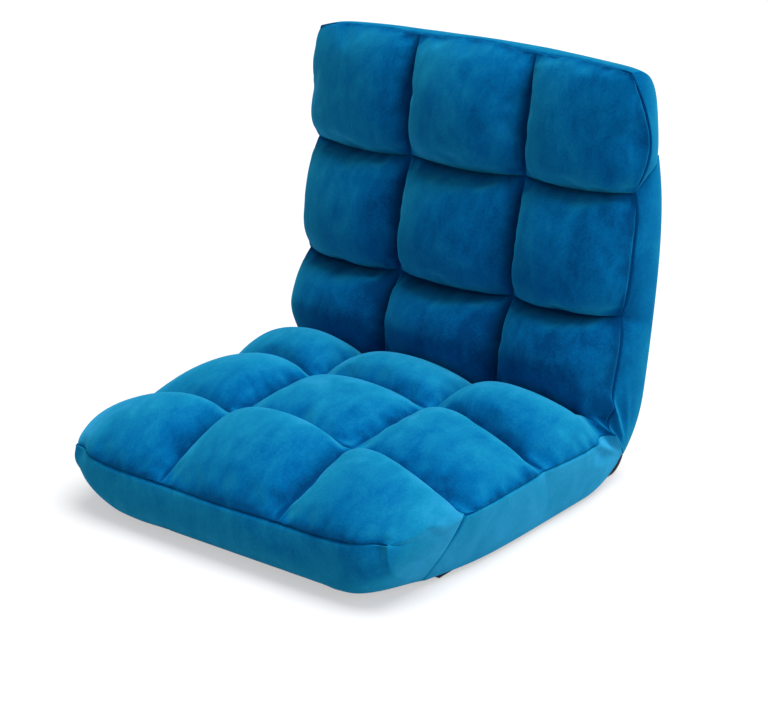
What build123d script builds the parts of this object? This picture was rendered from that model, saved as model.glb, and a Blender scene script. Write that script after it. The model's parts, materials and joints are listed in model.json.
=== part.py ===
"""Folding floor chair: a tufted seat and back on two bent tube frames, joined by a pair of ratchet hinges.

The origin is on the floor, at the middle of the seat's base pad. +Z is up, the sitter faces -Y and +X is the
sitter's left. Pieces of the back are modelled lying flat behind the hinge and then turned up to the seating
angle. A run is a distance from the hinge axis along the seat or along the back.
"""

from build123d import *
import os
from math import cos, degrees, radians, sin, tan

# Overall sizes, in millimetres
chair_width = 520
seat_length = 486
back_length = 488
seat_front_seam = 352
seat_middle_seam = 199
back_head_seam = 328
back_middle_seam = 177
column_seam = 87.5

# Heights above the underside of the base pads
seat_seam = 83
seat_channel = 109
seat_crown = 153
front_crown = 148
back_seam = 62
back_channel = 88
back_crown = 132
head_crown = 132
front_tip = 74
head_tip = 82

# Cushion shape
side_draw = 14
seam_inset = 5
shoulder_inset = 26
foot_depth = 6
sewn_slit = 1
roll_inset = 2
front_nose = 40
head_nose = 60
nose_bulge = 4
tip_pinch = 4
corner_draw = 60
front_outer_drop = 15
head_outer_drop = 12
crown_power = 2.6
crown_lip = 0.2
tip_power = 2.2
tip_root = 0.6
sewn_swell = 0.05
roll_end_lean = 0.8

# Base pads, foam and the soft stretch at the fold
base_thickness = 7.5
base_inset = 34
boxing_wall = 34
front_wall = 12
soft_gap = 0.4
fold_seat_angle = 40
fold_room = 1.6

# Tube frames
tube_radius = 9.5
tube_wall = 1.2
tube_bend = 45
cross_radius = 6.5
weld_gap = 0.1
frame_margin = 21
front_cross_run = 250
rear_cross_run = 165
upper_cross_run = 240
lower_cross_run = 150

# Ratchet hinge
tooth_pitch = 7.45
recline_positions = 14
rest_position = 11
tip_radius = 22.5
tooth_depth = 2.2
tooth_ramp = 6.2
plate_radius = 25.5
plate_thickness = 2.5
arm_thickness = 4
arm_width = 15
washer_thickness = 0.8
washer_radius = 8
side_play = 0.05
running_fit = 0.05
pivot_radius = 4
pivot_head_radius = 7
pivot_head_height = 2.5
boss_radius = 9
neck_run = 56
neck_radius = 9
filler_run = 50
tail_width = 12
tail_margin = 12
skirt_gap = 1

# Pawls, their pins and their springs
contact_angle = 215
pawl_reach = 24
pawl_throw = 8
pawl_width = 11
pawl_pin_radius = 2.5
pawl_head_radius = 4
pawl_head_height = 1.5
nose_gap = 0.3
nose_lift = 0.6
nose_root = 5.5
spring_wire_radius = 0.7
spring_leg = 7
spring_bend = 3

# Rivets through the tubes
rivet_radius = 2.5
rivet_head_radius = 4.5
rivet_head_height = 2
seat_tube_run = 68
seat_rivet_runs = (84, 112)
back_tube_run = 44
back_rivet_runs = (60, 92)

# Sizes that follow from the ones above
seat_side = -1
back_side = 1
half_width = chair_width / 2
base_length = seat_front_seam + front_wall
hinge_y = base_length / 2
hinge_height = plate_radius + skirt_gap + base_thickness
tunnel_radius = hinge_height + soft_gap
cushion_bottom = base_thickness + soft_gap
foam_half = half_width - boxing_wall
frame_half = foam_half - frame_margin
rest_turn = rest_position * tooth_pitch
upright_turn = (recline_positions - 1) * tooth_pitch
fold_back_angle = 180 - upright_turn - fold_seat_angle - fold_room
root_radius = tip_radius - tooth_depth
plate_gap = arm_thickness + 2 * washer_thickness + 4 * side_play
pocket_half = tube_radius + rivet_head_height + soft_gap
hinge_axis = Axis((0, hinge_y, hinge_height), (1, 0, 0))


def around_hinge(radius, angle):
    """Point in the YZ plane at a radius and angle about the hinge axis, from straight back towards up."""
    return (hinge_y + radius * cos(radians(angle)), hinge_height + radius * sin(radians(angle)))


def at_hinge(run, height):
    """Point in the YZ plane in front of the hinge axis by run and above it by height."""
    return (hinge_y - run, hinge_height + height)


def turned(point, centre, angle):
    """Point in the YZ plane turned about a centre, from back towards up."""
    dy, dz = point[0] - centre[0], point[1] - centre[1]
    c, s = cos(radians(angle)), sin(radians(angle))
    return (centre[0] + dy * c - dz * s, centre[1] + dy * s + dz * c)


def fullness(share):
    """Height of a stuffed crown, from 0 at its sewn edges to 1 in the middle."""
    return (1 - abs(2 * share - 1) ** crown_power) ** 0.5


def roll_fullness(share):
    """Height of a roll's crown, which falls faster towards its tip than a stuffed crown does."""
    return (1 - (2 * share - 1) ** tip_power) ** tip_root if share > 0.5 else fullness(share)


def fold_plane(side, angle):
    """Plane through the hinge axis that ends a cushion at the fold, facing into the cushion."""
    normal = (0, side * sin(radians(angle)), -cos(radians(angle)))
    return Plane(origin=hinge_axis.position, x_dir=(1, 0, 0), z_dir=normal)


def fold_run(height, angle):
    """Run at which the fold plane passes a height above the base."""
    return (height - hinge_height) / tan(radians(angle))


def raised(piece):
    """A piece of the back, turned up from lying flat to the seating angle."""
    return piece.rotate(hinge_axis, rest_turn)


# Cushions

column_shares = (0, crown_lip / 3, crown_lip, 0.5, 1 - crown_lip, 1 - crown_lip / 3, 1)
outer_edge = half_width - seam_inset


def columns(outer):
    """The three columns of tufts, each as its two edges and the side that it ends on, if any."""
    inner = column_seam + sewn_slit / 2
    return ((-outer, -inner, -1), (-column_seam + sewn_slit / 2, column_seam - sewn_slit / 2, 0),
            (inner, outer, 1))


def edge_share(share, end):
    """How far a place across an outer column lies on its rounded outer edge, from 0 to 1."""
    outward = share if end > 0 else 1 - share
    return max(0, outward - 1 + crown_lip) / crown_lip if end else 0


def tuft_face(side, near, far, x, foot, shoulder, rise):
    """Section of a tuft at x: a flat foot, upright flanks and a crown of three arcs."""

    def crown(share):
        return (hinge_y + side * (near + share * (far - near)), shoulder + rise * fullness(share))

    with BuildSketch(Plane.YZ.offset(x)) as section:
        with BuildLine():
            Polyline(crown(0), (crown(0)[0], foot), (crown(1)[0], foot), crown(1))
            ThreePointArc(crown(1), crown(1 - crown_lip / 3), crown(1 - crown_lip))
            ThreePointArc(crown(1 - crown_lip), crown(0.5), crown(crown_lip))
            ThreePointArc(crown(crown_lip), crown(crown_lip / 3), crown(0))
        make_face()
    return section.sketch


def tuft_faces(side, near, far, column, seam, channel, crown):
    """Sections of one tuft from its left edge to its right edge."""
    low, high, end = column
    faces = []
    for share in column_shares:
        shoulder = channel - (channel - seam) * edge_share(share, end) ** 2
        rise = (crown - channel) * max(fullness(share), sewn_swell)
        x = low + share * (high - low)
        faces.append(tuft_face(side, near, far, x, seam - foot_depth, shoulder, rise))
    return faces


def quilted_cushion(side, middle_seam, end_seam, fold_angle, seam, channel, crown):
    """Two rows of three tufts on a boxed body, hollow below for the foam and open towards the hinge."""
    far = end_seam - soft_gap / 2
    near = fold_run(channel, fold_angle)
    half_slit = sewn_slit / 2
    with BuildPart() as cushion:
        with BuildSketch(Plane.XZ.offset(-hinge_y - side * far)):
            with BuildLine():
                foot = (half_width - side_draw, cushion_bottom)
                side_seam = (outer_edge, seam)
                ThreePointArc(foot, (half_width, (cushion_bottom + seam) / 2), side_seam)
                Polyline(side_seam, (half_width - shoulder_inset, channel), (0, channel))
                Line((0, cushion_bottom), foot)
                mirror(about=Plane.YZ)
            make_face()
        extrude(amount=far, dir=(0, -side, 0))
        for row_near, row_far in ((near, middle_seam - half_slit), (middle_seam + half_slit, far)):
            for column in columns(outer_edge):
                loft(tuft_faces(side, row_near, row_far, column, seam, channel, crown))
        cavity_length = end_seam - front_wall + soft_gap
        with Locations((0, hinge_y + side * cavity_length / 2, 0)):
            Box(2 * (foam_half + soft_gap), cavity_length, 2 * (seam + soft_gap), mode=Mode.SUBTRACT)
        with Locations(hinge_axis.position):
            Cylinder(tunnel_radius, chair_width, rotation=(0, 90, 0), mode=Mode.SUBTRACT)
        split(bisect_by=fold_plane(side, fold_angle), keep=Keep.TOP)
    return cushion.part


def roll_shoulder(share, end, seam, channel):
    """Height of a roll's rear edge, which falls across an outer column to its side seam."""
    outward = share if end > 0 else 1 - share
    return channel - (channel - seam) * outward ** 2 * (3 - 2 * outward) if end else channel


def roll_face(side, near, tip, x, shoulder, rise, tip_height, nose_run, girth):
    """Section of a stuffed roll at x: a crown that slopes to its tip, over a flat foot and a round nose."""

    def place(run, height):
        return (hinge_y + side * run, height)

    def crown(share):
        slope = shoulder + share * (tip_height - shoulder)
        return place(near + share * (tip - near), slope + rise * roll_fullness(share))

    def foot(height):
        return height - girth * (height - cushion_bottom)

    under = place(tip - girth * nose_run, foot(tip_height))
    curl = place(tip + girth * nose_bulge / 2, (foot(tip_height) + tip_height) / 2)
    with BuildSketch(Plane.YZ.offset(x)) as section:
        with BuildLine():
            Polyline(crown(0), place(near, foot(shoulder)), under)
            ThreePointArc(under, curl, crown(1))
            ThreePointArc(crown(1), crown(1 - crown_lip / 3), crown(1 - crown_lip))
            ThreePointArc(crown(1 - crown_lip), crown((1.5 - crown_lip) / 2), crown(0.5))
            ThreePointArc(crown(0.5), crown((crown_lip + 0.5) / 2), crown(crown_lip))
            ThreePointArc(crown(crown_lip), crown(crown_lip / 3), crown(0))
        make_face()
    return section.sketch


def stuffed_roll(side, end_seam, length, seam, channel, crown, drop, tip_height, nose_run):
    """A row of three tufts stuffed as one roll, whose ends lean in and round off towards the tip."""
    near = end_seam + soft_gap / 2
    with BuildPart() as roll:
        for low, high, end in columns(outer_edge - roll_inset):
            # the tufts of a roll meet in the sewn line
            low -= sewn_slit / 2 if end >= 0 else 0
            high += sewn_slit / 2 if end <= 0 else 0
            middle = (roll_shoulder(0.5, end, seam, channel) + tip_height) / 2
            full_rise = crown - (drop if end else 0) - middle
            faces = []
            for share in column_shares:
                edge = edge_share(share, end)
                pinch = tip_pinch * (1 - fullness(share)) + corner_draw * edge ** 1.5
                shoulder = roll_shoulder(share, end, seam, channel)
                rise = full_rise * max(fullness(share), sewn_swell)
                x = low + share * (high - low)
                faces.append(roll_face(side, near, length - nose_bulge - pinch, x, shoulder, rise, tip_height,
                                       nose_run, 1 - roll_end_lean * edge))
            loft(faces)
        split(bisect_by=Plane((0, hinge_y + side * near, 0), z_dir=(0, side, 0)), keep=Keep.TOP)
        split(bisect_by=Plane.XY.offset(cushion_bottom), keep=Keep.TOP)
    return roll.part


def base_pad(side, length):
    """Flat pad of black cloth over felt, from the hinge line to the roll."""
    with BuildPart() as pad:
        with BuildSketch():
            with Locations((0, hinge_y + side * (length + soft_gap) / 2)):
                Rectangle(2 * (half_width - base_inset), length - soft_gap)
        extrude(amount=base_thickness)
    return pad.part


def foam_slab(side, end_seam, fold_angle, seam, cross_runs):
    """Foam slab, grooved below for the tube frame and pocketed at its corners for the hinges."""
    length = end_seam - front_wall
    groove = tube_radius + soft_gap
    slot = cross_radius + soft_gap
    pocket_run = max(seat_rivet_runs[1], back_rivet_runs[1]) + rivet_head_radius + soft_gap
    pocket_top = hinge_height + plate_radius + soft_gap
    with BuildPart() as slab:
        with BuildSketch(Plane.XY.offset(cushion_bottom)):
            with Locations((0, hinge_y + side * length / 2)):
                Rectangle(2 * foam_half, length)
        extrude(amount=seam - cushion_bottom)
        with BuildLine() as path:
            FilletPolyline(*frame_points(side, 0, end_seam), radius=tube_bend)
        with BuildSketch(Plane(path.line @ 0, x_dir=(1, 0, 0), z_dir=path.line % 0)):
            Circle(groove)
            with Locations((0, side * hinge_height / 2)):
                Rectangle(2 * groove, hinge_height)
        sweep(path=path.line, mode=Mode.SUBTRACT)
        for run in cross_runs:
            with Locations((0, hinge_y + side * run, 0)):
                Box(2 * frame_half, 2 * slot, 2 * (hinge_height + slot), mode=Mode.SUBTRACT)
        for x in (-frame_half, frame_half):
            with Locations((x, hinge_y + side * pocket_run / 2, 0)):
                Box(2 * pocket_half, pocket_run, 2 * pocket_top, mode=Mode.SUBTRACT)
        with Locations(hinge_axis.position):
            Cylinder(tunnel_radius, chair_width, rotation=(0, 90, 0), mode=Mode.SUBTRACT)
        split(bisect_by=fold_plane(side, fold_angle), keep=Keep.TOP)
    return slab.part


def fold_gusset():
    """The soft stretch of cover that fills the fold between seat and back in the seating position."""
    low = 180 - fold_seat_angle
    high = rest_turn + fold_back_angle
    reach = (seat_channel - hinge_height) / sin(radians(fold_seat_angle))
    middle = (low + high) / 2
    with BuildPart() as gusset:
        with BuildSketch(Plane.YZ.offset(-(half_width - side_draw))):
            with BuildLine():
                Line(around_hinge(tunnel_radius, low), around_hinge(reach, low))
                ThreePointArc(*(around_hinge(reach, angle) for angle in (low, middle, high)))
                Line(around_hinge(reach, high), around_hinge(tunnel_radius, high))
                ThreePointArc(*(around_hinge(tunnel_radius, angle) for angle in (high, middle, low)))
            make_face()
            offset(amount=-soft_gap)
        extrude(amount=2 * (half_width - side_draw))
    return gusset.part


def hinge_skirt():
    """Black cloth that goes round the hinge from the seat's base pad to the back's."""
    inner = hinge_height - base_thickness
    edge_angle = degrees(soft_gap / hinge_height)
    low = 270 + edge_angle
    high = 270 + rest_turn - edge_angle
    middle = (low + high) / 2
    with BuildPart() as skirt:
        with BuildSketch(Plane.YZ.offset(-(half_width - base_inset))):
            with BuildLine():
                ThreePointArc(*(around_hinge(hinge_height, angle) for angle in (low, middle, high)))
                Line(around_hinge(hinge_height, high), around_hinge(inner, high))
                ThreePointArc(*(around_hinge(inner, angle) for angle in (high, middle, low)))
                Line(around_hinge(inner, low), around_hinge(hinge_height, low))
            make_face()
        extrude(amount=2 * (half_width - base_inset))
    return skirt.part


# Tube frames


def frame_points(side, start, end_seam):
    """Corners of a U frame's centre line, from one end near the hinge to the other."""
    near_y = hinge_y + side * start
    far_y = hinge_y + side * (end_seam - front_wall - frame_margin)
    return [(frame_half, near_y, hinge_height), (frame_half, far_y, hinge_height),
            (-frame_half, far_y, hinge_height), (-frame_half, near_y, hinge_height)]


def frame_tube(side, start, end_seam, rivet_runs):
    """Steel tube bent to a U, drilled across near both ends for its rivets."""
    with BuildPart() as tube:
        with BuildLine() as path:
            FilletPolyline(*frame_points(side, start, end_seam), radius=tube_bend)
        with BuildSketch(Plane(path.line @ 0, z_dir=path.line % 0)):
            Circle(tube_radius)
            Circle(tube_radius - tube_wall, mode=Mode.SUBTRACT)
        sweep(path=path.line)
        for x in (-frame_half, frame_half):
            for run in rivet_runs:
                with Locations((x, hinge_y + side * run, hinge_height)):
                    Cylinder(rivet_radius + running_fit, 3 * tube_radius, rotation=(0, 90, 0),
                             mode=Mode.SUBTRACT)
    return tube.part


def cross_tube(side, run):
    """Straight tube across a frame, its ends cut to sit against the side tubes."""
    with BuildPart() as tube:
        with BuildSketch(Plane.YZ.offset(-frame_half)):
            with Locations((hinge_y + side * run, hinge_height)):
                Circle(cross_radius)
                Circle(cross_radius - tube_wall, mode=Mode.SUBTRACT)
        extrude(amount=2 * frame_half)
        for x in (-frame_half, frame_half):
            with Locations((x, hinge_y + side * run, hinge_height)):
                Cylinder(tube_radius + weld_gap, 4 * cross_radius, rotation=(90, 0, 0), mode=Mode.SUBTRACT)
    return tube.part


# Ratchet hinges

pivot = at_hinge(0, 0)
notch = around_hinge(root_radius, contact_angle)
pawl_pin_at = (notch[0] + pawl_reach * sin(radians(contact_angle)),
               notch[1] - pawl_reach * cos(radians(contact_angle)))
seat_tail_run = seat_rivet_runs[1] + tail_margin
back_tail_run = back_rivet_runs[1] + tail_margin


def hinge_plate(x):
    """Side plate from x outwards in +X: a round head, a boss for the pawl pin and a tail in the seat tube."""
    with BuildPart() as plate:
        with BuildSketch(Plane.YZ.offset(x)):
            with BuildLine():
                CenterArc(pivot, plate_radius, 0, 360)
                CenterArc(pawl_pin_at, boss_radius, 0, 360)
                CenterArc(at_hinge(neck_run, 0), neck_radius, 0, 360)
            make_hull()
            with Locations(at_hinge((neck_run + seat_tail_run) / 2, 0)):
                Rectangle(seat_tail_run - neck_run, tail_width)
            with Locations(pivot):
                Circle(pivot_radius + running_fit, mode=Mode.SUBTRACT)
            with Locations(pawl_pin_at):
                Circle(pawl_pin_radius + running_fit, mode=Mode.SUBTRACT)
            with Locations(*(at_hinge(run, 0) for run in seat_rivet_runs)):
                Circle(rivet_radius + running_fit, mode=Mode.SUBTRACT)
        extrude(amount=plate_thickness)
    return plate.part


def hinge_filler(x):
    """Bar between the tails of the two plates, which keeps them apart inside the tube."""
    with BuildPart() as filler:
        with BuildSketch(Plane.YZ.offset(x - plate_gap / 2)):
            with Locations(at_hinge((filler_run + seat_tail_run) / 2, 0)):
                Rectangle(seat_tail_run - filler_run, tail_width)
            with Locations(*(at_hinge(run, 0) for run in seat_rivet_runs)):
                Circle(rivet_radius + running_fit, mode=Mode.SUBTRACT)
        extrude(amount=plate_gap)
    return filler.part


def ratchet_arm(x):
    """Toothed disc with a flat arm that goes into the back tube, lying flat behind the hinge."""
    with BuildPart() as arm:
        with BuildSketch(Plane.YZ.offset(x - arm_thickness / 2)):
            with Locations(pivot):
                Circle(tip_radius)
            with Locations(at_hinge(-back_tail_run / 2, 0)):
                Rectangle(back_tail_run, arm_width)
            for position in range(recline_positions):
                wall = contact_angle - position * tooth_pitch
                outside = 2 * tip_radius - root_radius
                Polygon(around_hinge(outside, wall), around_hinge(root_radius, wall),
                        around_hinge(tip_radius, wall - tooth_ramp),
                        around_hinge(outside, wall - tooth_ramp), align=None, mode=Mode.SUBTRACT)
            with Locations(pivot):
                Circle(pivot_radius + running_fit, mode=Mode.SUBTRACT)
            with Locations(*(at_hinge(-run, 0) for run in back_rivet_runs)):
                Circle(rivet_radius + running_fit, mode=Mode.SUBTRACT)
        extrude(amount=arm_thickness)
    return arm.part


def pawl_edge():
    """Outer side of the pawl in its notch: from beside its pin to the root of its nose."""
    wall = contact_angle - degrees(nose_gap / root_radius)
    across = (cos(radians(contact_angle)), sin(radians(contact_angle)))
    heel = (pawl_pin_at[0] + across[0] * pawl_width / 2, pawl_pin_at[1] + across[1] * pawl_width / 2)
    return heel, around_hinge(tip_radius + nose_root, wall)


def pawl(x):
    """Strut that drops into a notch of the ratchet arm, drawn in its notch and then turned out of it."""
    wall = contact_angle - degrees(nose_gap / root_radius)
    heel, nose_heel = pawl_edge()
    brow = (2 * pawl_pin_at[0] - heel[0], 2 * pawl_pin_at[1] - heel[1])
    with BuildPart() as strut:
        with BuildSketch(Plane.YZ.offset(x - arm_thickness / 2)):
            Polygon(around_hinge(root_radius + nose_lift, wall),
                    around_hinge(tip_radius + nose_lift, contact_angle - tooth_ramp),
                    around_hinge(tip_radius + 2 * nose_lift, contact_angle - 3 * tooth_ramp),
                    brow, heel, nose_heel, align=None)
            with Locations(pawl_pin_at):
                Circle(pawl_width / 2)
                Circle(pawl_pin_radius + running_fit, mode=Mode.SUBTRACT)
        extrude(amount=arm_thickness)
    pin_axis = Axis((x, *pawl_pin_at), (1, 0, 0))
    return strut.part.rotate(pin_axis, -pawl_throw)


def pawl_spring(x):
    """Bent wire from the filler bar to the outer side of the pawl, which holds it in or out."""
    heel, nose_heel = (turned(point, pawl_pin_at, -pawl_throw) for point in pawl_edge())
    middle = ((heel[0] + nose_heel[0]) / 2, (heel[1] + nose_heel[1]) / 2)
    outward = radians(contact_angle - pawl_throw)

    def off_pawl(distance):
        return (x, middle[0] + distance * cos(outward), middle[1] + distance * sin(outward))

    anchor = (x, hinge_y - filler_run + soft_gap, hinge_height)
    with BuildPart() as spring:
        with BuildLine() as path:
            FilletPolyline(anchor, (x, anchor[1] + spring_leg, anchor[2]),
                           off_pawl(soft_gap + spring_leg), off_pawl(soft_gap), radius=spring_bend)
        with BuildSketch(Plane(path.line @ 0, z_dir=path.line % 0)):
            Circle(spring_wire_radius)
        sweep(path=path.line)
    return spring.part


def headed_pin(x, at, radius, head_radius, head_height, grip):
    """Pin along X with a head on both ends, gripping the plates or the tube between its heads."""
    with BuildPart() as pin:
        with BuildSketch(Plane.YZ.offset(x - grip / 2 - head_height)):
            with Locations(at):
                Circle(head_radius)
        extrude(amount=head_height)
        with BuildSketch(Plane.YZ.offset(x - grip / 2)):
            with Locations(at):
                Circle(radius)
        extrude(amount=grip)
        with BuildSketch(Plane.YZ.offset(x + grip / 2)):
            with Locations(at):
                Circle(head_radius)
        extrude(amount=head_height)
    return pin.part


def rivet_set(side, runs):
    """The rivets that hold the hinges in both ends of one frame tube."""
    grip = 2 * (tube_radius + side_play)
    rivets = []
    for x in (-frame_half, frame_half):
        for run in runs:
            at = (hinge_y + side * run, hinge_height)
            rivets.append(headed_pin(x, at, rivet_radius, rivet_head_radius, rivet_head_height, grip))
    return Compound(children=rivets)


def washer_set():
    """The thin washers on both sides of both ratchet arms."""
    washers = []
    for x in (-frame_half, frame_half):
        for low in (x - arm_thickness / 2 - side_play - washer_thickness, x + arm_thickness / 2 + side_play):
            with BuildPart() as washer:
                with BuildSketch(Plane.YZ.offset(low)):
                    with Locations(pivot):
                        Circle(washer_radius)
                        Circle(pivot_radius + running_fit, mode=Mode.SUBTRACT)
                extrude(amount=washer_thickness)
            washers.append(washer.part)
    return Compound(children=washers)


pieces = {
    "seat_cushion": quilted_cushion(seat_side, seat_middle_seam, seat_front_seam, fold_seat_angle,
                                    seat_seam, seat_channel, seat_crown),
    "front_roll": stuffed_roll(seat_side, seat_front_seam, seat_length, seat_seam, seat_channel, front_crown,
                               front_outer_drop, front_tip, front_nose),
    "seat_foam": foam_slab(seat_side, seat_front_seam, fold_seat_angle, seat_seam,
                           (front_cross_run, rear_cross_run)),
    "seat_base_pad": base_pad(seat_side, base_length),
    "fold_gusset": fold_gusset(),
    "hinge_skirt": hinge_skirt(),
    "seat_frame_tube": frame_tube(seat_side, seat_tube_run, seat_front_seam, seat_rivet_runs),
    "seat_cross_tube_front": cross_tube(seat_side, front_cross_run),
    "seat_cross_tube_rear": cross_tube(seat_side, rear_cross_run),
    "pivot_washers": washer_set(),
    "seat_rivets": rivet_set(seat_side, seat_rivet_runs),
    "back_cushion": raised(quilted_cushion(back_side, back_middle_seam, back_head_seam, fold_back_angle,
                                           back_seam, back_channel, back_crown)),
    "head_roll": raised(stuffed_roll(back_side, back_head_seam, back_length, back_seam, back_channel,
                                     head_crown, head_outer_drop, head_tip, head_nose)),
    "back_foam": raised(foam_slab(back_side, back_head_seam, fold_back_angle, back_seam,
                                  (lower_cross_run, upper_cross_run))),
    "back_base_pad": raised(base_pad(back_side, back_head_seam + front_wall)),
    "back_frame_tube": raised(frame_tube(back_side, back_tube_run, back_head_seam, back_rivet_runs)),
    "back_cross_tube_lower": raised(cross_tube(back_side, lower_cross_run)),
    "back_cross_tube_upper": raised(cross_tube(back_side, upper_cross_run)),
    "back_rivets": raised(rivet_set(back_side, back_rivet_runs)),
}

for hand, x in (("right", -frame_half), ("left", frame_half)):
    outward = 1 if x > 0 else -1
    outer_low = x + outward * (plate_gap + plate_thickness) / 2 - plate_thickness / 2
    inner_low = x - outward * (plate_gap + plate_thickness) / 2 - plate_thickness / 2
    stack = plate_gap + 2 * (plate_thickness + side_play)
    pieces[f"hinge_outer_plate_{hand}"] = hinge_plate(outer_low)
    pieces[f"hinge_inner_plate_{hand}"] = hinge_plate(inner_low)
    pieces[f"hinge_filler_{hand}"] = hinge_filler(x)
    pieces[f"pivot_pin_{hand}"] = headed_pin(x, pivot, pivot_radius, pivot_head_radius, pivot_head_height, stack)
    pieces[f"pawl_pin_{hand}"] = headed_pin(x, pawl_pin_at, pawl_pin_radius, pawl_head_radius,
                                            pawl_head_height, stack)
    pieces[f"pawl_spring_{hand}"] = pawl_spring(x)
    pieces[f"pawl_{hand}"] = pawl(x)
    pieces[f"ratchet_arm_{hand}"] = raised(ratchet_arm(x))

os.makedirs("parts", exist_ok=True)
for name, piece in pieces.items():
    piece.label = name
    export_step(piece, f"parts/{name}.step")
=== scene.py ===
"""Looks of a folding floor chair: a sewn and stuffed velvet cover over a hidden steel frame, in metres."""
import json
import math
from dataclasses import dataclass
from typing import Callable

import bpy
import numpy as np
from mathutils import Matrix, Vector


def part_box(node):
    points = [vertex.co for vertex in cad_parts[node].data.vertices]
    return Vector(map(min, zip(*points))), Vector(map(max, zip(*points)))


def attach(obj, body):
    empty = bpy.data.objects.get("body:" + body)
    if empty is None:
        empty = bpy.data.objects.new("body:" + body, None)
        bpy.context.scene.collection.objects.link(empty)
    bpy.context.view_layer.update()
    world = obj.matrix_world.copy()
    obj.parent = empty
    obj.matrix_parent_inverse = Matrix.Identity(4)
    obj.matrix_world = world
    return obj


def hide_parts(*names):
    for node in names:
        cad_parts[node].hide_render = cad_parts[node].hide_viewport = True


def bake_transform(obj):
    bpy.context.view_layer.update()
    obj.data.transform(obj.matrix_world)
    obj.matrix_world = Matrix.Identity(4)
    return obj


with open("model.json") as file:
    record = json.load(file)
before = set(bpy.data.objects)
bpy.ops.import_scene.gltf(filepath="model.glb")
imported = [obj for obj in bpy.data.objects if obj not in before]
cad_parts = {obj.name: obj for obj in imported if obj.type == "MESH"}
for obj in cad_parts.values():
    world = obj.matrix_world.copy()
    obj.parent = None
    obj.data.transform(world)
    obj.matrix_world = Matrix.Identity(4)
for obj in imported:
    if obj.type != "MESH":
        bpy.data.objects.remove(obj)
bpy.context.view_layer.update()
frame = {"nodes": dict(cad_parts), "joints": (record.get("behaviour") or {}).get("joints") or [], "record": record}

# Hinge line and fold at the stored pose; a run is a distance from the hinge line, along a half of the chair
recline = next(j for j in frame["joints"] if j["name"] == "back_recline")
hinge_y, hinge_z = recline["pos_m"][1:]
rest_turn = math.radians(recline["range_deg"][1])
fold_angle = math.radians(48.2)
crease_radius = 0.085
fold_side_radius = 0.054
fold_side_power = 26
fold_half_width = 0.246
fold_under_half_width = 0.243

# Widths and heights that the whole cover shares
column_seam = 0.0875
base_height = 0.008
base_sag = 0.003
sag_width = 0.014
side_wrap = 0.124
boxing_bulge = 0.004
bulge_power = 0.7
full_bulge_height = 0.06

# Base pad, with its bound edge
pad_half_width = 0.226
pad_thickness = 0.0073
pad_overlap = 0.011
pad_rounding = 0.0022
pad_rounding_width = 0.004
bound_width = 0.010
bound_rise = 0.0007
bound_step = 0.003

# Seat cushion and front roll; crowns are the heights of the tufts' tops, by row and column, a corner is a
# roll's end draw, tip draw, tip rise and end bulge, and the row shading is painted light on the roll and each row
seat_half_width = 0.2585
seat_under_half_width = 0.241
front_under_half_width = 0.222
seat_row_draw = 0.004
seat_row_set = 0.008
seat_rows = (0.352, 0.199)
seat_channel = 0.116
seat_seam = 0.083
seat_crowns = ((0.142, 0.144, 0.131), (0.150, 0.154, 0.142))
front_tip_run = 0.481
front_tip_seam = 0.074
front_crowns = ((0.128, 0.139, 0.124),)
front_lift_run = 0.447
front_corner = (0.026, 0.024, 0.009, 0)
# Painted light on the seat cover's sides and underside
seat_painted_side_light = 1.15
# Painted light on the front roll's top and on the seat's rear row
seat_painted_row_shading = (0.2, 0, 0.3)

# Back cushion and head roll, measured with the back laid flat; its cover sits a little to one side
back_half_width = 0.2505
back_under_half_width = 0.247
head_under_half_width = 0.227
back_row_draw = 0.008
back_shift = 0.0105
head_slant = 0.010
back_rows = (0.328, 0.177)
back_channel = 0.078
back_seam = 0.062
back_crowns = ((0.119, 0.132, 0.119), (0.119, 0.132, 0.119))
head_tip_run = 0.484
head_tip_seam = 0.082
head_end_seam = 0.030
head_crowns = ((0.117, 0.130, 0.117),)
head_lift_run = 0.395
back_row_bow = 0.007
head_corner = (0.016, 0.014, 0.004, 0.006)
# Painted shade on the back cover's sides and underside
back_painted_side_shade = -0.75
# Painted light on the head roll's top, painted shade on the back's lower row
back_painted_row_shading = (0.28, 0, -0.55)

# How the cloth is drawn in by its seams; each tuft and edge is a profile's power and root
draw_power = 4
roll_wall_draw = 0.008
seam_draw = 0.0035
corner_start = 0.18
corner_powers = (3.5, 3)
corner_lift = 0.105
corner_lift_start = 0.16
corner_lift_uneven = 0.04
end_seam_rate = 1.6
roll_end_skew = 0.048
skew_start = 0.17
skew_width = 0.07
skew_fade = 0.045
seat_tuft = (2.3, 0.6)
back_tuft = (2.3, 0.5)
tuft_rounding = 0.7
tuft_rounding_power = 4
tuft_lean = 0.2
fold_lean = -0.1
fold_edge = (1.6, 1)
seat_edge = (2.2, 0.7)
back_edge = (2.6, 0.7)
head_edge = (3, 0.6)
roll_edge = (1.6, 0.5)
roll_tip_edge = (2.2, 0.6)
nose_power = 4.6
corner_nose_power = 1.6
knife_share = 0.2
tuft_variation = 0.025
tuft_phases = (2.3, 4.1, 1)
under_taper_power = 4
wall_tuck = 0.018
wall_tuck_power = 8
seam_groove = 0.003
seam_sharpness = 0.6
tuck_place = 0.222
tuck_depth = 0.010
tuck_half_width = 0.014
tuck_half_height = 0.018
tip_length = 0.06
tip_ease = 0.03
flat_share = 0.4

# Painted shading of the velvet: painted shade along the seams, painted light on the front roll's ends, and less of
# that painted light under the roll
seam_shade_depth = 1.8
seam_shade_power = 16
end_light_start = 0.2
end_light_width = 0.7
under_light_share = 0.4

# Pleats that gather the cover at the sides of the fold, fanned out from the hinge
pleat_depth = 0.008
pleat_rate = 9
pleat_sharpness = 0.7
pleat_start = 0.19
pleat_width = 0.05
pleat_spread = 0.65
pleat_radius = 0.065
pleat_band = 0.035

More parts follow.
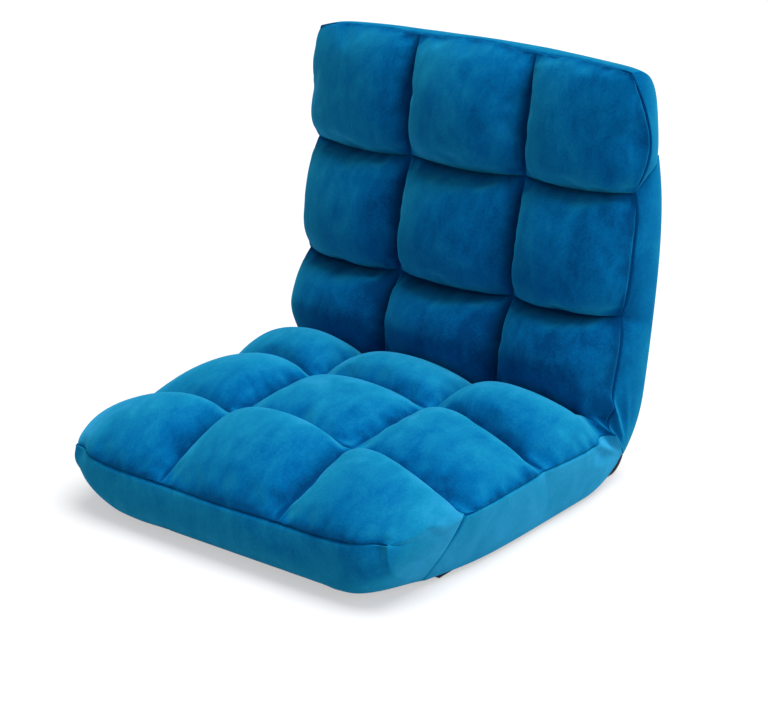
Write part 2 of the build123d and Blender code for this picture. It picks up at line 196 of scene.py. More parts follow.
# Fineness of the covers' grids, and how long and how far the stuffing swells them
cell_steps = 26
even_share = 0.55
beside_side_seam = (0.975, 0.993)
beside_tip_seam = (0.98, 0.993, 0.9985)
boxing_depths = (0, 0.027, 0.067, 0.12, 0.2, 0.3, 0.4, 0.5, 0.6, 0.7, 0.8, 0.9, 1)
settle_frames = 20
settle_limit = 0.008


def on_seat(x, run, height):
    """Chair place of a point given by its run from the hinge and its height over the floor."""
    return np.stack((x, hinge_y - run, height), -1)


def on_back(x, run, height):
    """Chair place of a point on the back, whose height is measured with the back laid flat."""
    lift = height - hinge_z
    y = hinge_y + run * math.cos(rest_turn) - lift * math.sin(rest_turn)
    z = hinge_z + run * math.sin(rest_turn) + lift * math.cos(rest_turn)
    return np.stack((-x, y, z), -1)


def ease(t):
    """Smooth step from 0 to 1."""
    t = np.clip(t, 0, 1)
    return t * t * (3 - 2 * t)


def stations(cells, first=(), last=()):
    """Cell number of each station and its place in the cell, -1 to 1; outer seams get closer stations."""
    t = np.linspace(-1, 1, cell_steps + 1)
    t = even_share * t + (1 - even_share) * np.sin(t * math.pi / 2)
    number = np.concatenate([np.full(cell_steps, c) for c in range(cells)] + [[cells - 1]])
    place = np.concatenate([t[:-1]] * cells + [t[-1:]])
    number = np.concatenate(([0] * len(first), number, [cells - 1] * len(last)))
    place = np.concatenate((-np.array(first), place, last))
    order = np.argsort(place + 2 * number, kind="stable")
    return number[order].astype(int), place[order]


def profile(place, edge):
    """Rounded profile of a cell, 1 in its middle and 0 at its ends; the edge sets its power and root."""
    power, root = edge
    return np.clip(1 - np.abs(place) ** power, 0, 1) ** root


def painted_seam_shade(a, b):
    """Painted shade that darkens the velvet's colour along the sewn lines of a cell."""
    # Painted shade: the colour goes darker towards each sewn line
    return -seam_shade_depth * np.maximum(np.abs(a), np.abs(b)) ** seam_shade_power


def past_pad(x):
    """Share by which places across the chair are past the base pad's side."""
    return ease((np.abs(x) - pad_half_width) / sag_width)


def toward_side(x, start):
    """Share of the way from a start to the cover's side, for places across the chair."""
    return np.clip((np.abs(x) - start) / (seat_half_width - start), 0, 1)


class Cells:
    """Grid over three columns and some rows of sewn cells, with each point's place in its cell."""

    def __init__(self, rows, tip=()):
        column, a = stations(3, beside_side_seam, beside_side_seam)
        row, b = stations(rows, tip)
        self.column, self.row = np.meshgrid(column, row, indexing="ij")
        self.a, self.b = np.meshgrid(a, b, indexing="ij")
        self.side = self.column - 1
        self.out = np.where(self.side == 0, -1, self.side * self.a)
        self.to_side = ease((self.out + 1) / 2)
        self.line = np.isclose(np.abs(self.a), 1) | np.isclose(np.abs(self.b), 1)

    def across(self, reach):
        """Place across the chair, where the cover's side stands at a reach from its middle."""
        outer = self.side * (column_seam + (reach - column_seam) * (self.out + 1) / 2)
        return np.where(self.side == 0, column_seam * self.a, outer)

    def swell(self, tuft, side_edge, tip_edge=None):
        """Share of a tuft's rise, with round shoulders that end upright in the sewn lines."""
        by_fold = self.row == 1
        leaned = self.b - np.where(by_fold, fold_lean, tuft_lean) * (1 - self.b ** 2)
        across, along = profile(self.a, tuft), profile(leaned, tuft)
        along = np.where(by_fold & (leaned > 0), profile(leaned, fold_edge), along)
        across = np.where(self.out > 0, profile(self.a, side_edge), across)
        rounding = 1 - tuft_rounding * (self.a * self.b) ** tuft_rounding_power
        if tip_edge:
            along = np.where(leaned < 0, profile(leaned, tip_edge), along)
            rounding = np.where(self.b < 0, 1, rounding)
        by_column, by_row, first = tuft_phases
        variation = 1 + tuft_variation * np.sin(by_column * self.column + by_row * self.row + first)
        return across * along * rounding * variation


@dataclass
class Half:
    """What the cushion and the roll of one half of the chair share."""
    place: Callable
    rows: tuple
    channel: float
    seam: float
    half_width: float
    under_half_width: float
    roll_under_half_width: float
    row_draw: float
    row_bow: float
    row_set: float
    tuft: tuple
    pile: float
    painted_row_shading: tuple
    shift: float
    fold: float

    def reach(self, cells):
        """Distance of each side from the middle, before it is drawn in."""
        return self.half_width + self.shift * cells.side

    def bow(self, cells):
        """Distance by which the row seams sag between the sewn columns, and are set back from the sides."""
        return self.row_bow * (1 - cells.a ** 2) + self.row_set * (1 - cells.to_side)


class Cover:
    """A stuffed form on a lattice of columns, runs and depths, of which only the skin is kept."""

    def __init__(self, name, half, cells, top, bottom, wall_at, knife_edge=False):
        self.name, self.place, self.knife_edge = name, half.place, knife_edge
        depth = np.array(boxing_depths)
        top, bottom = np.stack(top, -1), np.stack(bottom, -1)
        points = top[:, :, None] + (bottom - top)[:, :, None] * depth[:, None]
        tall = np.linalg.norm(bottom - top, axis=-1)
        bulge = boxing_bulge * np.sin(math.pi * depth) ** bulge_power
        for i, side in ((0, -1), (-1, 1)):
            points[i, :, :, 0] += side * np.clip(tall[i] / full_bulge_height, 0, 1)[:, None] * bulge
        # The wall against the neighbour leans outwards at the sides
        near_side = ease((np.abs(points[..., 0]) - skew_start) / skew_width)
        near_wall = np.exp(-np.abs(points[..., 1] - half.rows[0]) / skew_fade)
        points[..., 1] += roll_end_skew * depth * near_side * near_wall
        self.points = points
        self.held = np.ones(points.shape[:3])
        self.held[:, :, 0] = cells.line
        self.held[[0, -1], 1:-1, 1:-1] = 0
        self.held[:, wall_at, :] = 1
        self.sewn = np.zeros(points.shape[:3])
        self.sewn[:, :, 0] = cells.line
        self.groove = np.zeros(points.shape[:3])
        self.taut = np.ones(points.shape[:3])
        self.taut[:, :, 0] = 0
        # Painted shading: the sides and underside take their half's painted light or shade, the top takes painted
        # shade along its sewn lines
        self.pile = np.full(points.shape[:3], half.pile)
        self.pile[:, :, 0] = painted_seam_shade(cells.a, cells.b)

    def number(self, i, j, k):
        """Number of a lattice point; all depths of a knife edge are one point."""
        runs, depths = self.points.shape[1:3]
        return (i * runs + j) * depths + (0 if self.knife_edge and j == 0 else k)

    def faces(self):
        """Corner numbers of the skin's faces."""
        columns, runs, depths = (n - 1 for n in self.points.shape[:3])
        for i in range(columns):
            for j in range(runs):
                yield (i, j, 0), (i + 1, j, 0), (i + 1, j + 1, 0), (i, j + 1, 0)
                yield (i, j, depths), (i, j + 1, depths), (i + 1, j + 1, depths), (i + 1, j, depths)
        for k in range(depths):
            for j in range(runs):
                yield (0, j, k), (0, j + 1, k), (0, j + 1, k + 1), (0, j, k + 1)
                yield (columns, j, k), (columns, j, k + 1), (columns, j + 1, k + 1), (columns, j + 1, k)
            for i in range(columns):
                yield (i, 0, k), (i, 0, k + 1), (i + 1, 0, k + 1), (i + 1, 0, k)
                yield (i, runs, k), (i + 1, runs, k), (i + 1, runs, k + 1), (i, runs, k + 1)

    def build(self, material):
        """Adds the skin to the scene with its painted shading, and keeps which of its points are held or sewn."""
        numbered = [list(dict.fromkeys(self.number(*corner) for corner in face)) for face in self.faces()]
        numbered = [face for face in numbered if len(face) > 2]
        used = np.unique(np.concatenate(numbered))
        compact = np.full(self.held.size, -1)
        compact[used] = np.arange(len(used))
        points = bunched(self.place(*np.moveaxis(self.points, -1, 0))).reshape(-1, 3)[used]
        mesh = bpy.data.meshes.new(self.name)
        mesh.from_pydata(points.tolist(), [], [compact[face].tolist() for face in numbered])
        # The painted light and shade are kept on the mesh for the velvet's colour
        mesh.attributes.new("pile", "FLOAT", "POINT").data.foreach_set("value", self.pile.ravel()[used])
        self.piece = add_piece(self.name, mesh, material)
        for kept in ("held", "sewn", "groove", "taut"):
            setattr(self, kept, getattr(self, kept).ravel()[used])


def add_piece(name, mesh, material):
    """Puts a mesh with a material into the scene, smooth shaded."""
    mesh.update()
    mesh.polygons.foreach_set("use_smooth", np.ones(len(mesh.polygons), bool))
    mesh.materials.append(material)
    piece = bpy.data.objects.new(name, mesh)
    bpy.context.scene.collection.objects.link(piece)
    return piece


def bunched(points):
    """Gathers the cover at the sides of the fold into small pleats."""
    y, z = points[..., 1] - hinge_y, points[..., 2] - hinge_z
    angle = np.arctan2(z, -y) - fold_angle
    edge = ease((np.abs(points[..., 0]) - pleat_start) / pleat_width)
    window = np.exp(-(angle / pleat_spread) ** 2 - ((np.hypot(y, z) - pleat_radius) / pleat_band) ** 2)
    wave = 1 - 2 * np.abs(np.sin(pleat_rate * angle)) ** pleat_sharpness
    points = points.copy()
    points[..., 0] += np.sign(points[..., 0]) * edge * window * pleat_depth * wave
    return points


def make_cushion(name, half, crowns, edge):
    """Two rows of tufts over a boxed side, from the roll's wall to the fold."""
    cells = Cells(2)
    along = (cells.b + 1) / 2
    first = cells.row == 0
    reach = half.reach(cells) - half.row_draw * np.abs(cells.b) ** draw_power
    x = cells.across(reach + np.where(first, 0, ease(2 * along - 1)) * (fold_half_width - reach))
    base = half.channel + (half.seam - half.channel) * cells.to_side
    middle = np.where(cells.side == 0, half.channel, (half.channel + half.seam) / 2)
    rise = np.array(crowns)[cells.row, cells.column] - middle
    height = base + rise * cells.swell(half.tuft, edge)
    crease = crease_radius + (fold_side_radius - crease_radius) * cells.to_side ** fold_side_power
    fold_height = hinge_z + crease * math.sin(half.fold)
    start = np.where(first, half.rows[0], half.rows[1])
    end = np.where(first, half.rows[1], crease * math.cos(half.fold))
    run = start + (end - start) * along - half.bow(cells) * np.where(first, 1, 1 - along)
    height = height + np.where(first, 0, along) * (fold_height - base)
    cover = Cover(name, half, cells, (x, run, height), underside(cells, half), (0, -1))
    # Each row's top gets its painted light or painted shade
    cover.pile[:, :, 0] += np.array(half.painted_row_shading[1:])[cells.row]
    cover.groove[[0, -1], :, 0] = seam_groove
    return cover


def underside(cells, half):
    """Underside of a cushion: flat on its pad, then round the hinge as far as the fold's outer side."""
    along = (cells.row + (cells.b + 1) / 2) / 2
    narrowing = half.under_half_width - fold_under_half_width
    reach = half.under_half_width - narrowing * along ** under_taper_power
    x = cells.across(reach - wall_tuck * (1 - along) ** wall_tuck_power)
    past = past_pad(x)
    base = base_height - base_sag * past
    wrap = hinge_z - base
    bend = wrap + (side_wrap - wrap) * past
    middle = (bend - wrap) / math.sin(half.fold)
    middle_run, middle_height = middle * math.cos(half.fold), hinge_z + middle * math.sin(half.fold)
    arc = bend * (math.pi / 2 - half.fold)
    travel = (half.rows[0] - middle_run + arc) * (1 - along)
    turned = np.clip(arc - travel, 0, arc) / bend
    run = np.where(travel > arc, travel - arc + middle_run, middle_run - bend * np.sin(turned))
    height = np.where(travel > arc, base, middle_height - bend * np.cos(turned))
    return x, run, height


def make_roll(name, half, tip_run, tip_seam, end_seam, crowns, edge, lift_run, slant, drawn, sewn_ends):
    """One row of tufts that ends in a knife seam, over a round underside."""
    cells = Cells(1, beside_tip_seam)
    seam_run = half.rows[0]
    to_tip = (1 - cells.b) / 2
    end_draw, tip_draw, tip_rise, end_bulge = drawn
    end_power, tip_power = corner_powers
    drawn_in = roll_wall_draw * np.clip(cells.b, 0, 1) ** draw_power + end_draw * to_tip ** end_power
    x = cells.across(half.reach(cells) - drawn_in + end_bulge * (1 - cells.b ** 2))
    end_height = half.seam + (end_seam - half.seam) * ease(end_seam_rate * to_tip)
    base = half.channel + (end_height - half.channel) * cells.to_side
    tip_height = tip_seam + tip_rise * ((cells.out + 1) / 2) ** 2
    base = base + (tip_height - base) * to_tip
    middle = np.where(cells.side == 0, half.channel, (half.channel + half.seam) / 2) / 2 + tip_seam / 2
    rise = np.array(crowns)[cells.row, cells.column] - middle
    height = base + rise * cells.swell(half.tuft, edge, roll_tip_edge)
    tip_drawn = tip_draw * toward_side(x, corner_start) ** tip_power
    nose = tip_run - tip_drawn - slant * ease(-x / half.half_width)
    tip = nose - seam_draw * (1 - np.cos(math.pi * cells.a)) / 2
    run = seam_run + (tip - seam_run) * to_tip - half.bow(cells) * (1 - to_tip)
    under = roll_underside(cells, half, x, nose, tip, tip_height, lift_run)
    cover = Cover(name, half, cells, (x, run, height), under, -1, True)
    cover.held[:, 1:-1, -1] = (to_tip <= flat_share)[:, 1:-1]
    cover.groove[:, 0, :] = seam_groove
    if sewn_ends:
        cover.groove[[0, -1], :, 0] = seam_groove
    else:
        soften_ends(cover, cells, half.pile, tip_seam)
    # The roll's top gets painted light
    cover.pile[:, :, 0] += half.painted_row_shading[0]
    return cover


def roll_underside(cells, half, x, nose, tip, tip_height, lift_run):
    """Underside of a roll: flat on the floor side, then round up to the tip's seam as a superellipse."""
    seam_run = half.rows[0]
    to_tip = (1 - cells.b) / 2
    turn = math.pi / 2 * np.clip((to_tip - flat_share) / (1 - flat_share), 0, 1)
    power = nose_power + (corner_nose_power - nose_power) * toward_side(x, corner_start)
    reach, lift = np.sin(turn) ** (2 / power), 1 - np.cos(turn) ** (2 / power)
    # One corner is stuffed less than the other
    slack = corner_lift_start + corner_lift_uneven * np.sign(x)
    lift_from = lift_run - corner_lift * toward_side(x, slack) ** 2
    nose = nose + (tip - nose) * ease((lift - 1 + knife_share) / knife_share)
    flat_run = seam_run + (lift_from - seam_run) * np.clip(to_tip / flat_share, 0, 1)
    run = np.where(turn > 0, lift_from + (nose - lift_from) * reach, flat_run)
    under_x = cells.across(half.roll_under_half_width)
    under_x = under_x + (x - under_x) * lift
    base = base_height - base_sag * past_pad(under_x)
    return under_x, run, base + (tip_height - base) * lift


def soften_ends(cover, cells, pile, tip_seam):
    """Leaves a roll's ends without a side seam, with painted light on them, less painted light under the roll, and
    a small tuck in each corner.
    """
    cover.held[[0, -1], 1:-1, 0] = 0
    cover.sewn[[0, -1], 1:, 0] = 0
    # Painted seam shade only where the top is sewn, painted light towards the roll's ends, and less painted light
    # on its underside
    cover.pile[:, :, 0] = painted_seam_shade(np.where(cells.out > 0, 0, cells.a), cells.b)
    cover.pile[:, :, 0] += pile * ease((cells.out - end_light_start) / end_light_width)
    cover.pile[:, :, -1] *= under_light_share
    across, up = np.abs(cover.points[..., 0]) - tuck_place, cover.points[..., 2] - tip_seam
    tuck = np.exp(-(across / tuck_half_width) ** 2 - (up / tuck_half_height) ** 2)
    cover.points[..., 1] -= tuck_depth * tuck * near_tip(cover)


def near_tip(cover):
    """Share by which a roll's points belong to its tip."""
    run = cover.points[..., 1]
    return ease((run - run.max() + tip_length) / tip_ease)


def settle(covers):
    """Swells the covers against their seams with a short cloth simulation that moves no point far."""
    starts = []
    for cover in covers:
        piece = cover.piece
        starts.append(coordinates(piece.data))
        group = piece.vertex_groups.new(name="held")
        group.add(np.flatnonzero(cover.held > 0.5).tolist(), 1, "REPLACE")
        group = piece.vertex_groups.new(name="taut")
        group.add(np.flatnonzero(cover.taut > 0.5).tolist(), 1, "REPLACE")
        cloth = piece.modifiers.new("stuffing", "CLOTH")
        cloth.collision_settings.use_collision = False
        settings = cloth.settings
        settings.vertex_group_mass = "held"
        settings.quality = 6
        settings.mass = 0.25
        settings.tension_stiffness = 12
        settings.compression_stiffness = 8
        settings.shear_stiffness = 4
        settings.bending_stiffness = 0.3
        settings.vertex_group_shrink = "taut"
        settings.shrink_min = -0.025
        settings.shrink_max = 0
        settings.use_pressure = True
        settings.uniform_pressure_force = 3
        settings.effector_weights.gravity = 0
    for number in range(1, settle_frames + 1):
        bpy.context.scene.frame_set(number)
    graph = bpy.context.evaluated_depsgraph_get()
    for cover, start in zip(covers, starts):
        piece = cover.piece
        step = coordinates(piece.evaluated_get(graph).data) - start
        length = np.maximum(np.linalg.norm(step, axis=1, keepdims=True), 1e-9)
        step *= settle_limit * np.tanh(length / settle_limit) / length
        piece.modifiers.clear()
        piece.vertex_groups.clear()
        piece.data.vertices.foreach_set("co", (start + step).ravel())
        piece.data.update()
    bpy.context.scene.frame_set(1)


def coordinates(mesh):
    """Places of a mesh's points."""
    places = np.empty(3 * len(mesh.vertices))
    mesh.vertices.foreach_get("co", places)
    return places.reshape(-1, 3)


def smoothed(cover):
    """Draws a cover's seams in and subdivides it once, with its sewn lines kept sharp."""
    piece = cover.piece
    normals = np.empty(3 * len(piece.data.vertices))
    piece.data.vertex_normals.foreach_get("vector", normals)
    places = coordinates(piece.data) - normals.reshape(-1, 3) * cover.groove[:, None]
    piece.data.vertices.foreach_set("co", places.ravel())
    piece.data.update()
    edges = np.empty(2 * len(piece.data.edges), int)
    piece.data.edges.foreach_get("vertices", edges)
    crease = cover.sewn[edges.reshape(-1, 2)].min(axis=1) * seam_sharpness
    piece.data.attributes.new("crease_edge", "FLOAT", "EDGE").data.foreach_set("value", crease)
    subdivision = piece.modifiers.new("subdivision", "SUBSURF")
    subdivision.levels = 1
    graph = bpy.context.evaluated_depsgraph_get()
    mesh = bpy.data.meshes.new_from_object(piece.evaluated_get(graph))
    piece.modifiers.clear()
    piece.data = mesh


class Finish:
    """A material whose node tree is built up around its main shader."""

    def __init__(self, name, **values):
        self.material = bpy.data.materials.new(name)
        self.material.use_nodes = True
        self.tree = self.material.node_tree
        self.shader = self.tree.nodes["Principled BSDF"]
        self.place = self.tree.nodes.new("ShaderNodeTexCoord").outputs["Object"]
        for socket, value in values.items():
            self.shader.inputs[socket.replace("_", " ")].default_value = value

    def link(self, source, target):
        self.tree.links.new(source, target)

    def noise(self, scale, detail=3, roughness=0.55, distortion=0, stretch=(1, 1, 1)):
        """Noise over the object's own places, drawn out by a stretch along each axis."""
        mapping = self.tree.nodes.new("ShaderNodeMapping")
        mapping.inputs["Scale"].default_value = stretch
        self.link(self.place, mapping.inputs["Vector"])
        node = self.tree.nodes.new("ShaderNodeTexNoise")
        for socket, value in (("Scale", scale), ("Detail", detail), ("Roughness", roughness),
                              ("Distortion", distortion)):
            node.inputs[socket].default_value = value
        self.link(mapping.outputs["Vector"], node.inputs["Vector"])
        return node.outputs["Fac"]

    def attribute(self, name):
        """Value that the mesh keeps at its points."""
        node = self.tree.nodes.new("ShaderNodeAttribute")
        node.attribute_name = name
        return node.outputs["Fac"]

    def facing(self):
        """Share by which the surface turns away from the viewer, for a painted sheen in the colour."""
        return self.tree.nodes.new("ShaderNodeLayerWeight").outputs["Facing"]

    def math(self, operation, first, second):
        node = self.tree.nodes.new("ShaderNodeMath")
        node.operation = operation
        for socket, value in zip(node.inputs, (first, second)):
            if isinstance(value, (int, float)):
                socket.default_value = value
            else:
                self.link(value, socket)
        return node.outputs["Value"]

    def weighted(self, *parts):
        """Sum of values, each times its weight."""
        total, *others = [self.math("MULTIPLY", value, weight) for value, weight in parts]
        for other in others:
            total = self.math("ADD", total, other)
        return total

    def ramp(self, value, *stops):
        """Colour ramp from pairs of place and colour."""
        node = self.tree.nodes.new("ShaderNodeValToRGB")
        elements = node.color_ramp.elements
        while len(elements) < len(stops):
            elements.new(0.5)
        for element, (place, colour) in zip(elements, stops):
            element.position = place
            element.color = (*colour, 1)
        self.link(value, node.inputs["Fac"])
        return node.outputs["Color"]

    def span(self, value, low, high):
        """The value from 0 to 1, put between two others."""
        node = self.tree.nodes.new("ShaderNodeMapRange")
        node.inputs["To Min"].default_value = low
        node.inputs["To Max"].default_value = high
        self.link(value, node.inputs["Value"])
        return node.outputs["Result"]

    def bump(self, height, distance, strength=1):
        node = self.tree.nodes.new("ShaderNodeBump")
        node.inputs["Distance"].default_value = distance
        node.inputs["Strength"].default_value = strength
        self.link(height, node.inputs["Height"])
        self.link(node.outputs["Normal"], self.shader.inputs["Normal"])

    def colour(self, source):
        self.link(source, self.shader.inputs["Base Color"])

    def roughness(self, source):
        self.link(source, self.shader.inputs["Roughness"])


def velvet_finish():
    """Velvet whose nap lies both ways in soft patches, with fine fibres and a pale sheen at its edges; its colour
    holds painted sheen and painted shading.
    """
    finish = Finish("velvet", Sheen_Weight=0.4, Sheen_Roughness=0.5, Sheen_Tint=(0.03, 0.60, 0.95, 1),
                    Specular_IOR_Level=0.01)
    patches = finish.noise(15, detail=4, roughness=0.6, distortion=0.8)
    strokes = finish.noise(55, detail=3, distortion=0.4, stretch=(1, 0.45, 0.45))
    fibre = finish.noise(1400, detail=2)
    grain = finish.noise(380, detail=3)
    nap = finish.math("ADD", finish.span(patches, 0.1, 0.4), finish.weighted((strokes, 0.3), (grain, 0.2)))
    # Painted sheen: the colour gets lighter where the surface turns away from the viewer, and the mesh's painted
    # light and shade are added on top
    sheen = finish.math("ADD", nap, finish.span(finish.facing(), -0.13, 0.25))
    sheen = finish.math("ADD", sheen, finish.math("MULTIPLY", finish.attribute("pile"), 0.14))
    finish.colour(finish.ramp(sheen, (0.28, (0.0001, 0.055, 0.19)), (0.43, (0.0002, 0.122, 0.335)),
                              (0.62, (0.006, 0.218, 0.415)), (0.9, (0.035, 0.34, 0.64))))
    finish.roughness(finish.span(nap, 0.7, 0.9))
    finish.bump(finish.weighted((fibre, 0.25), (strokes, 1)), 0.0012, 0.5)
    return finish.material


def base_cloth_finish():
    """Black plain-woven cloth, dull, with paler dusty threads."""
    finish = Finish("base_cloth", Sheen_Weight=0.15, Sheen_Roughness=0.5, Specular_IOR_Level=0.25)
    threads = []
    for direction in ("X", "Y", "Z"):
        wave = finish.tree.nodes.new("ShaderNodeTexWave")
        wave.bands_direction = direction
        wave.inputs["Scale"].default_value = 260
        wave.inputs["Distortion"].default_value = 0.6
        finish.link(finish.place, wave.inputs["Vector"])
        threads.append(wave.outputs["Fac"])
    weave = finish.math("MULTIPLY", threads[0], finish.math("MULTIPLY", threads[1], threads[2]))
    worn = finish.noise(30, detail=4)
    mixed = finish.weighted((weave, 0.4), (worn, 0.6))
    finish.colour(finish.ramp(mixed, (0.2, (0.006, 0.006, 0.007)), (0.75, (0.026, 0.026, 0.029))))
    finish.roughness(finish.span(worn, 0.7, 0.95))
    finish.bump(weave, 0.0004, 0.6)
    return finish.material


def foam_finish():
    """Open-cell foam, cream, with small pores."""
    finish = Finish("foam", Specular_IOR_Level=0.2)
    pores = finish.noise(650, detail=2)
    stain = finish.noise(9, detail=3)
    mixed = finish.weighted((pores, 0.5), (stain, 0.5))
    finish.colour(finish.ramp(mixed, (0.35, (0.62, 0.55, 0.38)), (0.65, (0.88, 0.83, 0.66))))
    finish.roughness(finish.span(stain, 0.8, 0.95))
    finish.bump(pores, 0.001, 0.7)
    return finish.material


def painted_steel_finish():
    """Black powder paint with a fine orange-peel skin."""
    finish = Finish("frame_steel")
    peel = finish.noise(420, detail=2)
    wear = finish.noise(24, detail=4)
    finish.colour(finish.ramp(wear, (0.35, (0.022, 0.022, 0.024)), (0.7, (0.045, 0.045, 0.047))))
    finish.roughness(finish.span(wear, 0.35, 0.55))
    finish.bump(peel, 0.0004, 0.4)
    return finish.material


def bright_steel_finish(name, dark, pale, stretch):
    """Plated steel with drawn scratches along one axis."""
    finish = Finish(name, Metallic=1)
    scratches = finish.noise(300, detail=3, stretch=stretch)
    cloudy = finish.noise(40, detail=3)
    mixed = finish.weighted((scratches, 0.6), (cloudy, 0.4))
    finish.colour(finish.ramp(mixed, (0.35, dark), (0.65, pale)))
    finish.roughness(finish.span(mixed, 0.28, 0.5))
    finish.bump(scratches, 0.0002, 0.4)
    return finish.material


def make_base(material):
    """Black cloth pad with a bound edge, under the seat, round the hinge and up the back's rear."""
    seat_run = hinge_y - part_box("seat_base_pad")[0][1]
    back_run = back_rows[0] + pad_overlap
    arc = hinge_z * rest_turn
    travel = np.concatenate((np.linspace(0, seat_run, 46)[:-1], seat_run + np.linspace(0, arc, 21)[:-1],
                             seat_run + arc + np.linspace(0, back_run, 44)))
    crowding = 1.3
    across = pad_half_width * np.sin(np.linspace(-1, 1, 49) * crowding) / math.sin(crowding)
    x, travel = np.meshgrid(across, travel, indexing="ij")
    end = seat_run + arc + back_run
    from_edge = np.minimum(np.minimum(travel, end - travel), pad_half_width - np.abs(x))
    bound = bound_rise * ease((from_edge - bound_width) / bound_step)
    to_edge = 1 - np.clip(from_edge / pad_rounding_width, 0, 1)
    rounding = pad_rounding * (1 - np.sqrt(1 - to_edge ** 2))
    turned = np.clip((travel - seat_run) / hinge_z, 0, rest_turn)
    flat_run = np.clip(seat_run - travel, 0, None)
    up_run = np.clip(travel - seat_run - arc, 0, None)
    layers = []
    for depth in (pad_thickness - rounding, bound + rounding):
        reach = hinge_z - depth
        y = hinge_y - flat_run + reach * np.sin(turned) + up_run * math.cos(rest_turn)
        z = hinge_z - reach * np.cos(turned) + up_run * math.sin(rest_turn)
        layers.append(np.stack((x, y, z), -1))
    inner, outer = layers
    columns, runs = x.shape
    number = np.arange(columns * runs).reshape(columns, runs)
    corners = (number[:-1, :-1], number[1:, :-1], number[1:, 1:], number[:-1, 1:])
    quads = np.stack(corners, -1).reshape(-1, 4)
    faces = []
    for shift, sheet in ((0, 1), (columns * runs, -1)):
        faces += (quads[:, ::sheet] + shift).tolist()
    rim = np.concatenate((number[:-1, 0], number[-1, :-1], number[:0:-1, -1], number[0, :0:-1]))
    other = rim + columns * runs
    faces += np.stack((rim, other, np.roll(other, -1), np.roll(rim, -1)), -1).tolist()
    mesh = bpy.data.meshes.new("base_cloth")
    mesh.from_pydata(np.concatenate((inner.reshape(-1, 3), outer.reshape(-1, 3))).tolist(), [], faces)
    return add_piece("base_cloth_pad", mesh, material)


def dress_frame():
    """Gives each node of the hidden frame the finish of its material slot."""
    finishes = {
        "foam": foam_finish(),
        "frame_steel": painted_steel_finish(),
        "hinge_steel": bright_steel_finish("hinge_steel", dark=(0.40, 0.40, 0.41), pale=(0.66, 0.66, 0.67),
                                           stretch=(1, 1, 0.08)),
        "pin_steel": bright_steel_finish("pin_steel", dark=(0.45, 0.45, 0.43), pale=(0.74, 0.74, 0.71),
                                         stretch=(0.08, 1, 1)),
    }
    for subpart in frame["record"]["subparts"]:
        finish = finishes.get(subpart["material_slot"])
        if finish:
            for slot in frame["nodes"][subpart["node"]].material_slots:
                slot.material = finish


def add_camera():
    """Camera at the photo's viewing angle."""
    image_width, focal, sensor_width = 768, 1970.8, 36
    turn, tilt, distance = math.radians(37.41), math.radians(19.77), 2.43655
    shift_right, shift_up = -0.04941, -0.11167
    target = Vector((0, hinge_y - 0.088, 0.256))
    back = Vector((math.sin(turn) * math.cos(tilt), -math.cos(turn) * math.cos(tilt), math.sin(tilt)))
    right = Vector((math.cos(turn), math.sin(turn), 0))
    up = back.cross(right)
    place = target + back * distance + right * shift_right + up * shift_up
    camera = bpy.data.objects.new("camera", bpy.data.cameras.new("camera"))
    bpy.context.scene.collection.objects.link(camera)
    camera.matrix_world = Matrix.Translation(place) @ Matrix((right, up, back)).transposed().to_4x4()
    camera.data.sensor_width = sensor_width
    camera.data.lens = focal * sensor_width / image_width
    bpy.context.scene.camera = camera


def seen_directly(tree):
    """Light path share that is 1 for camera, glossy and transmission rays."""
    path = tree.nodes.new("ShaderNodeLightPath")
    share = path.outputs["Is Camera Ray"]
    for ray in ("Is Glossy Ray", "Is Transmission Ray"):
        either = tree.nodes.new("ShaderNodeMath")
        either.operation = "MAXIMUM"
        tree.links.new(share, either.inputs[0])
        tree.links.new(path.outputs[ray], either.inputs[1])
        share = either.outputs["Value"]
    return share


def add_world(strength):
    """White surroundings that light the chair softly and look white to the camera."""
    world = bpy.data.worlds.new("studio")
    bpy.context.scene.world = world
    world.use_nodes = True
    tree = world.node_tree
    light = tree.nodes["Background"]
    light.inputs["Color"].default_value = (0.96, 0.98, 1, 1)
    light.inputs["Strength"].default_value = strength
    seen = tree.nodes.new("ShaderNodeBackground")
    seen.inputs["Color"].default_value = (1, 1, 1, 1)
    mix = tree.nodes.new("ShaderNodeMixShader")
    tree.links.new(seen_directly(tree), mix.inputs["Fac"])
    tree.links.new(light.outputs["Background"], mix.inputs[1])
    tree.links.new(seen.outputs["Background"], mix.inputs[2])
    tree.links.new(mix.outputs["Shader"], tree.nodes["World Output"].inputs["Surface"])


def add_light(name, energy, angle, source):
    """Soft light from the direction of a source."""
    light = bpy.data.objects.new(name, bpy.data.lights.new(name, "SUN"))
    light.data.energy = energy
    light.data.angle = math.radians(angle)
    light.rotation_euler = Vector(source).to_track_quat("Z", "Y").to_euler()
    bpy.context.scene.collection.objects.link(light)


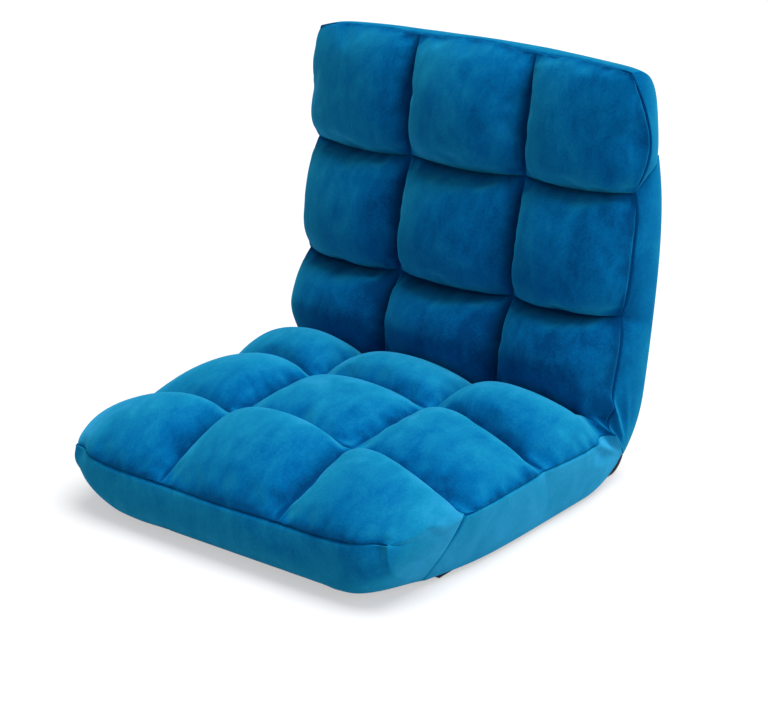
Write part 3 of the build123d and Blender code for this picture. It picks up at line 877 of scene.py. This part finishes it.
def add_floor():
    """Plain pale floor that keeps the chair's shadow."""
    finish = Finish("floor", Roughness=0.9, Specular_IOR_Level=0.1)
    finish.colour(finish.ramp(finish.noise(3, detail=2), (0, (0.95, 0.95, 0.96)), (1, (0.97, 0.97, 0.98))))
    white = finish.tree.nodes.new("ShaderNodeEmission")
    mix = finish.tree.nodes.new("ShaderNodeMixShader")
    mix.inputs["Fac"].default_value = 0.5
    finish.link(finish.shader.outputs["BSDF"], mix.inputs[1])
    finish.link(white.outputs["Emission"], mix.inputs[2])
    bounce = finish.tree.nodes.new("ShaderNodeBsdfDiffuse")
    bounce.inputs["Color"].default_value = (0.54, 0.54, 0.55, 1)
    either = finish.tree.nodes.new("ShaderNodeMixShader")
    finish.link(seen_directly(finish.tree), either.inputs["Fac"])
    finish.link(bounce.outputs["BSDF"], either.inputs[1])
    finish.link(mix.outputs["Shader"], either.inputs[2])
    finish.link(either.outputs["Shader"], finish.tree.nodes["Material Output"].inputs["Surface"])
    half_size, drop = 9, 0.0005
    mesh = bpy.data.meshes.new("floor")
    corners = [(half_size * x, half_size * y, 0) for x, y in ((-1, -1), (1, -1), (1, 1), (-1, 1))]
    mesh.from_pydata(corners, [], [(0, 1, 2, 3)])
    floor = add_piece("floor", mesh, finish.material)
    floor.location.z = -drop


velvet = velvet_finish()
seat_half = Half(
    place=on_seat, rows=seat_rows, channel=seat_channel, seam=seat_seam, half_width=seat_half_width,
    under_half_width=seat_under_half_width, roll_under_half_width=front_under_half_width,
    row_draw=seat_row_draw, row_bow=0, row_set=seat_row_set, tuft=seat_tuft, pile=seat_painted_side_light,
    painted_row_shading=seat_painted_row_shading, shift=0, fold=fold_angle)
back_half = Half(
    place=on_back, rows=back_rows, channel=back_channel, seam=back_seam, half_width=back_half_width,
    under_half_width=back_under_half_width, roll_under_half_width=head_under_half_width,
    row_draw=back_row_draw, row_bow=back_row_bow, row_set=0, tuft=back_tuft, pile=back_painted_side_shade,
    painted_row_shading=back_painted_row_shading, shift=back_shift, fold=math.pi - rest_turn - fold_angle)
seat = make_cushion("seat_cover", seat_half, seat_crowns, seat_edge)
back = make_cushion("back_cover", back_half, back_crowns, back_edge)
front = make_roll(
    "front_roll_cover", seat_half, tip_run=front_tip_run, tip_seam=front_tip_seam, end_seam=seat_seam,
    crowns=front_crowns, edge=roll_edge, lift_run=front_lift_run, slant=0, drawn=front_corner,
    sewn_ends=False)
head = make_roll(
    "head_roll_cover", back_half, tip_run=head_tip_run, tip_seam=head_tip_seam, end_seam=head_end_seam,
    crowns=head_crowns, edge=head_edge, lift_run=head_lift_run, slant=head_slant, drawn=head_corner,
    sewn_ends=True)
covers = (seat, back, front, head)
for cover in covers:
    cover.build(velvet)
settle(covers)
for cover in covers:
    smoothed(cover)
base = make_base(base_cloth_finish())
dress_frame()

for piece in (seat.piece, back.piece, base):
    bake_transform(piece)
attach(front.piece, "seat")
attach(head.piece, "back")
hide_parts("seat_cushion", "fold_gusset")
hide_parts("back_cushion")
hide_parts("front_roll")
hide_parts("head_roll")
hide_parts("seat_base_pad", "back_base_pad", "hinge_skirt")

add_camera()
add_world(strength=0.2)
add_light("overhead_light", energy=3.2, angle=45, source=(0.25, 0.12, 1))
add_light("side_light", energy=0.95, angle=50, source=(1, -0.1, 0.5))
add_floor()
bpy.context.scene.view_settings.view_transform = "Standard"
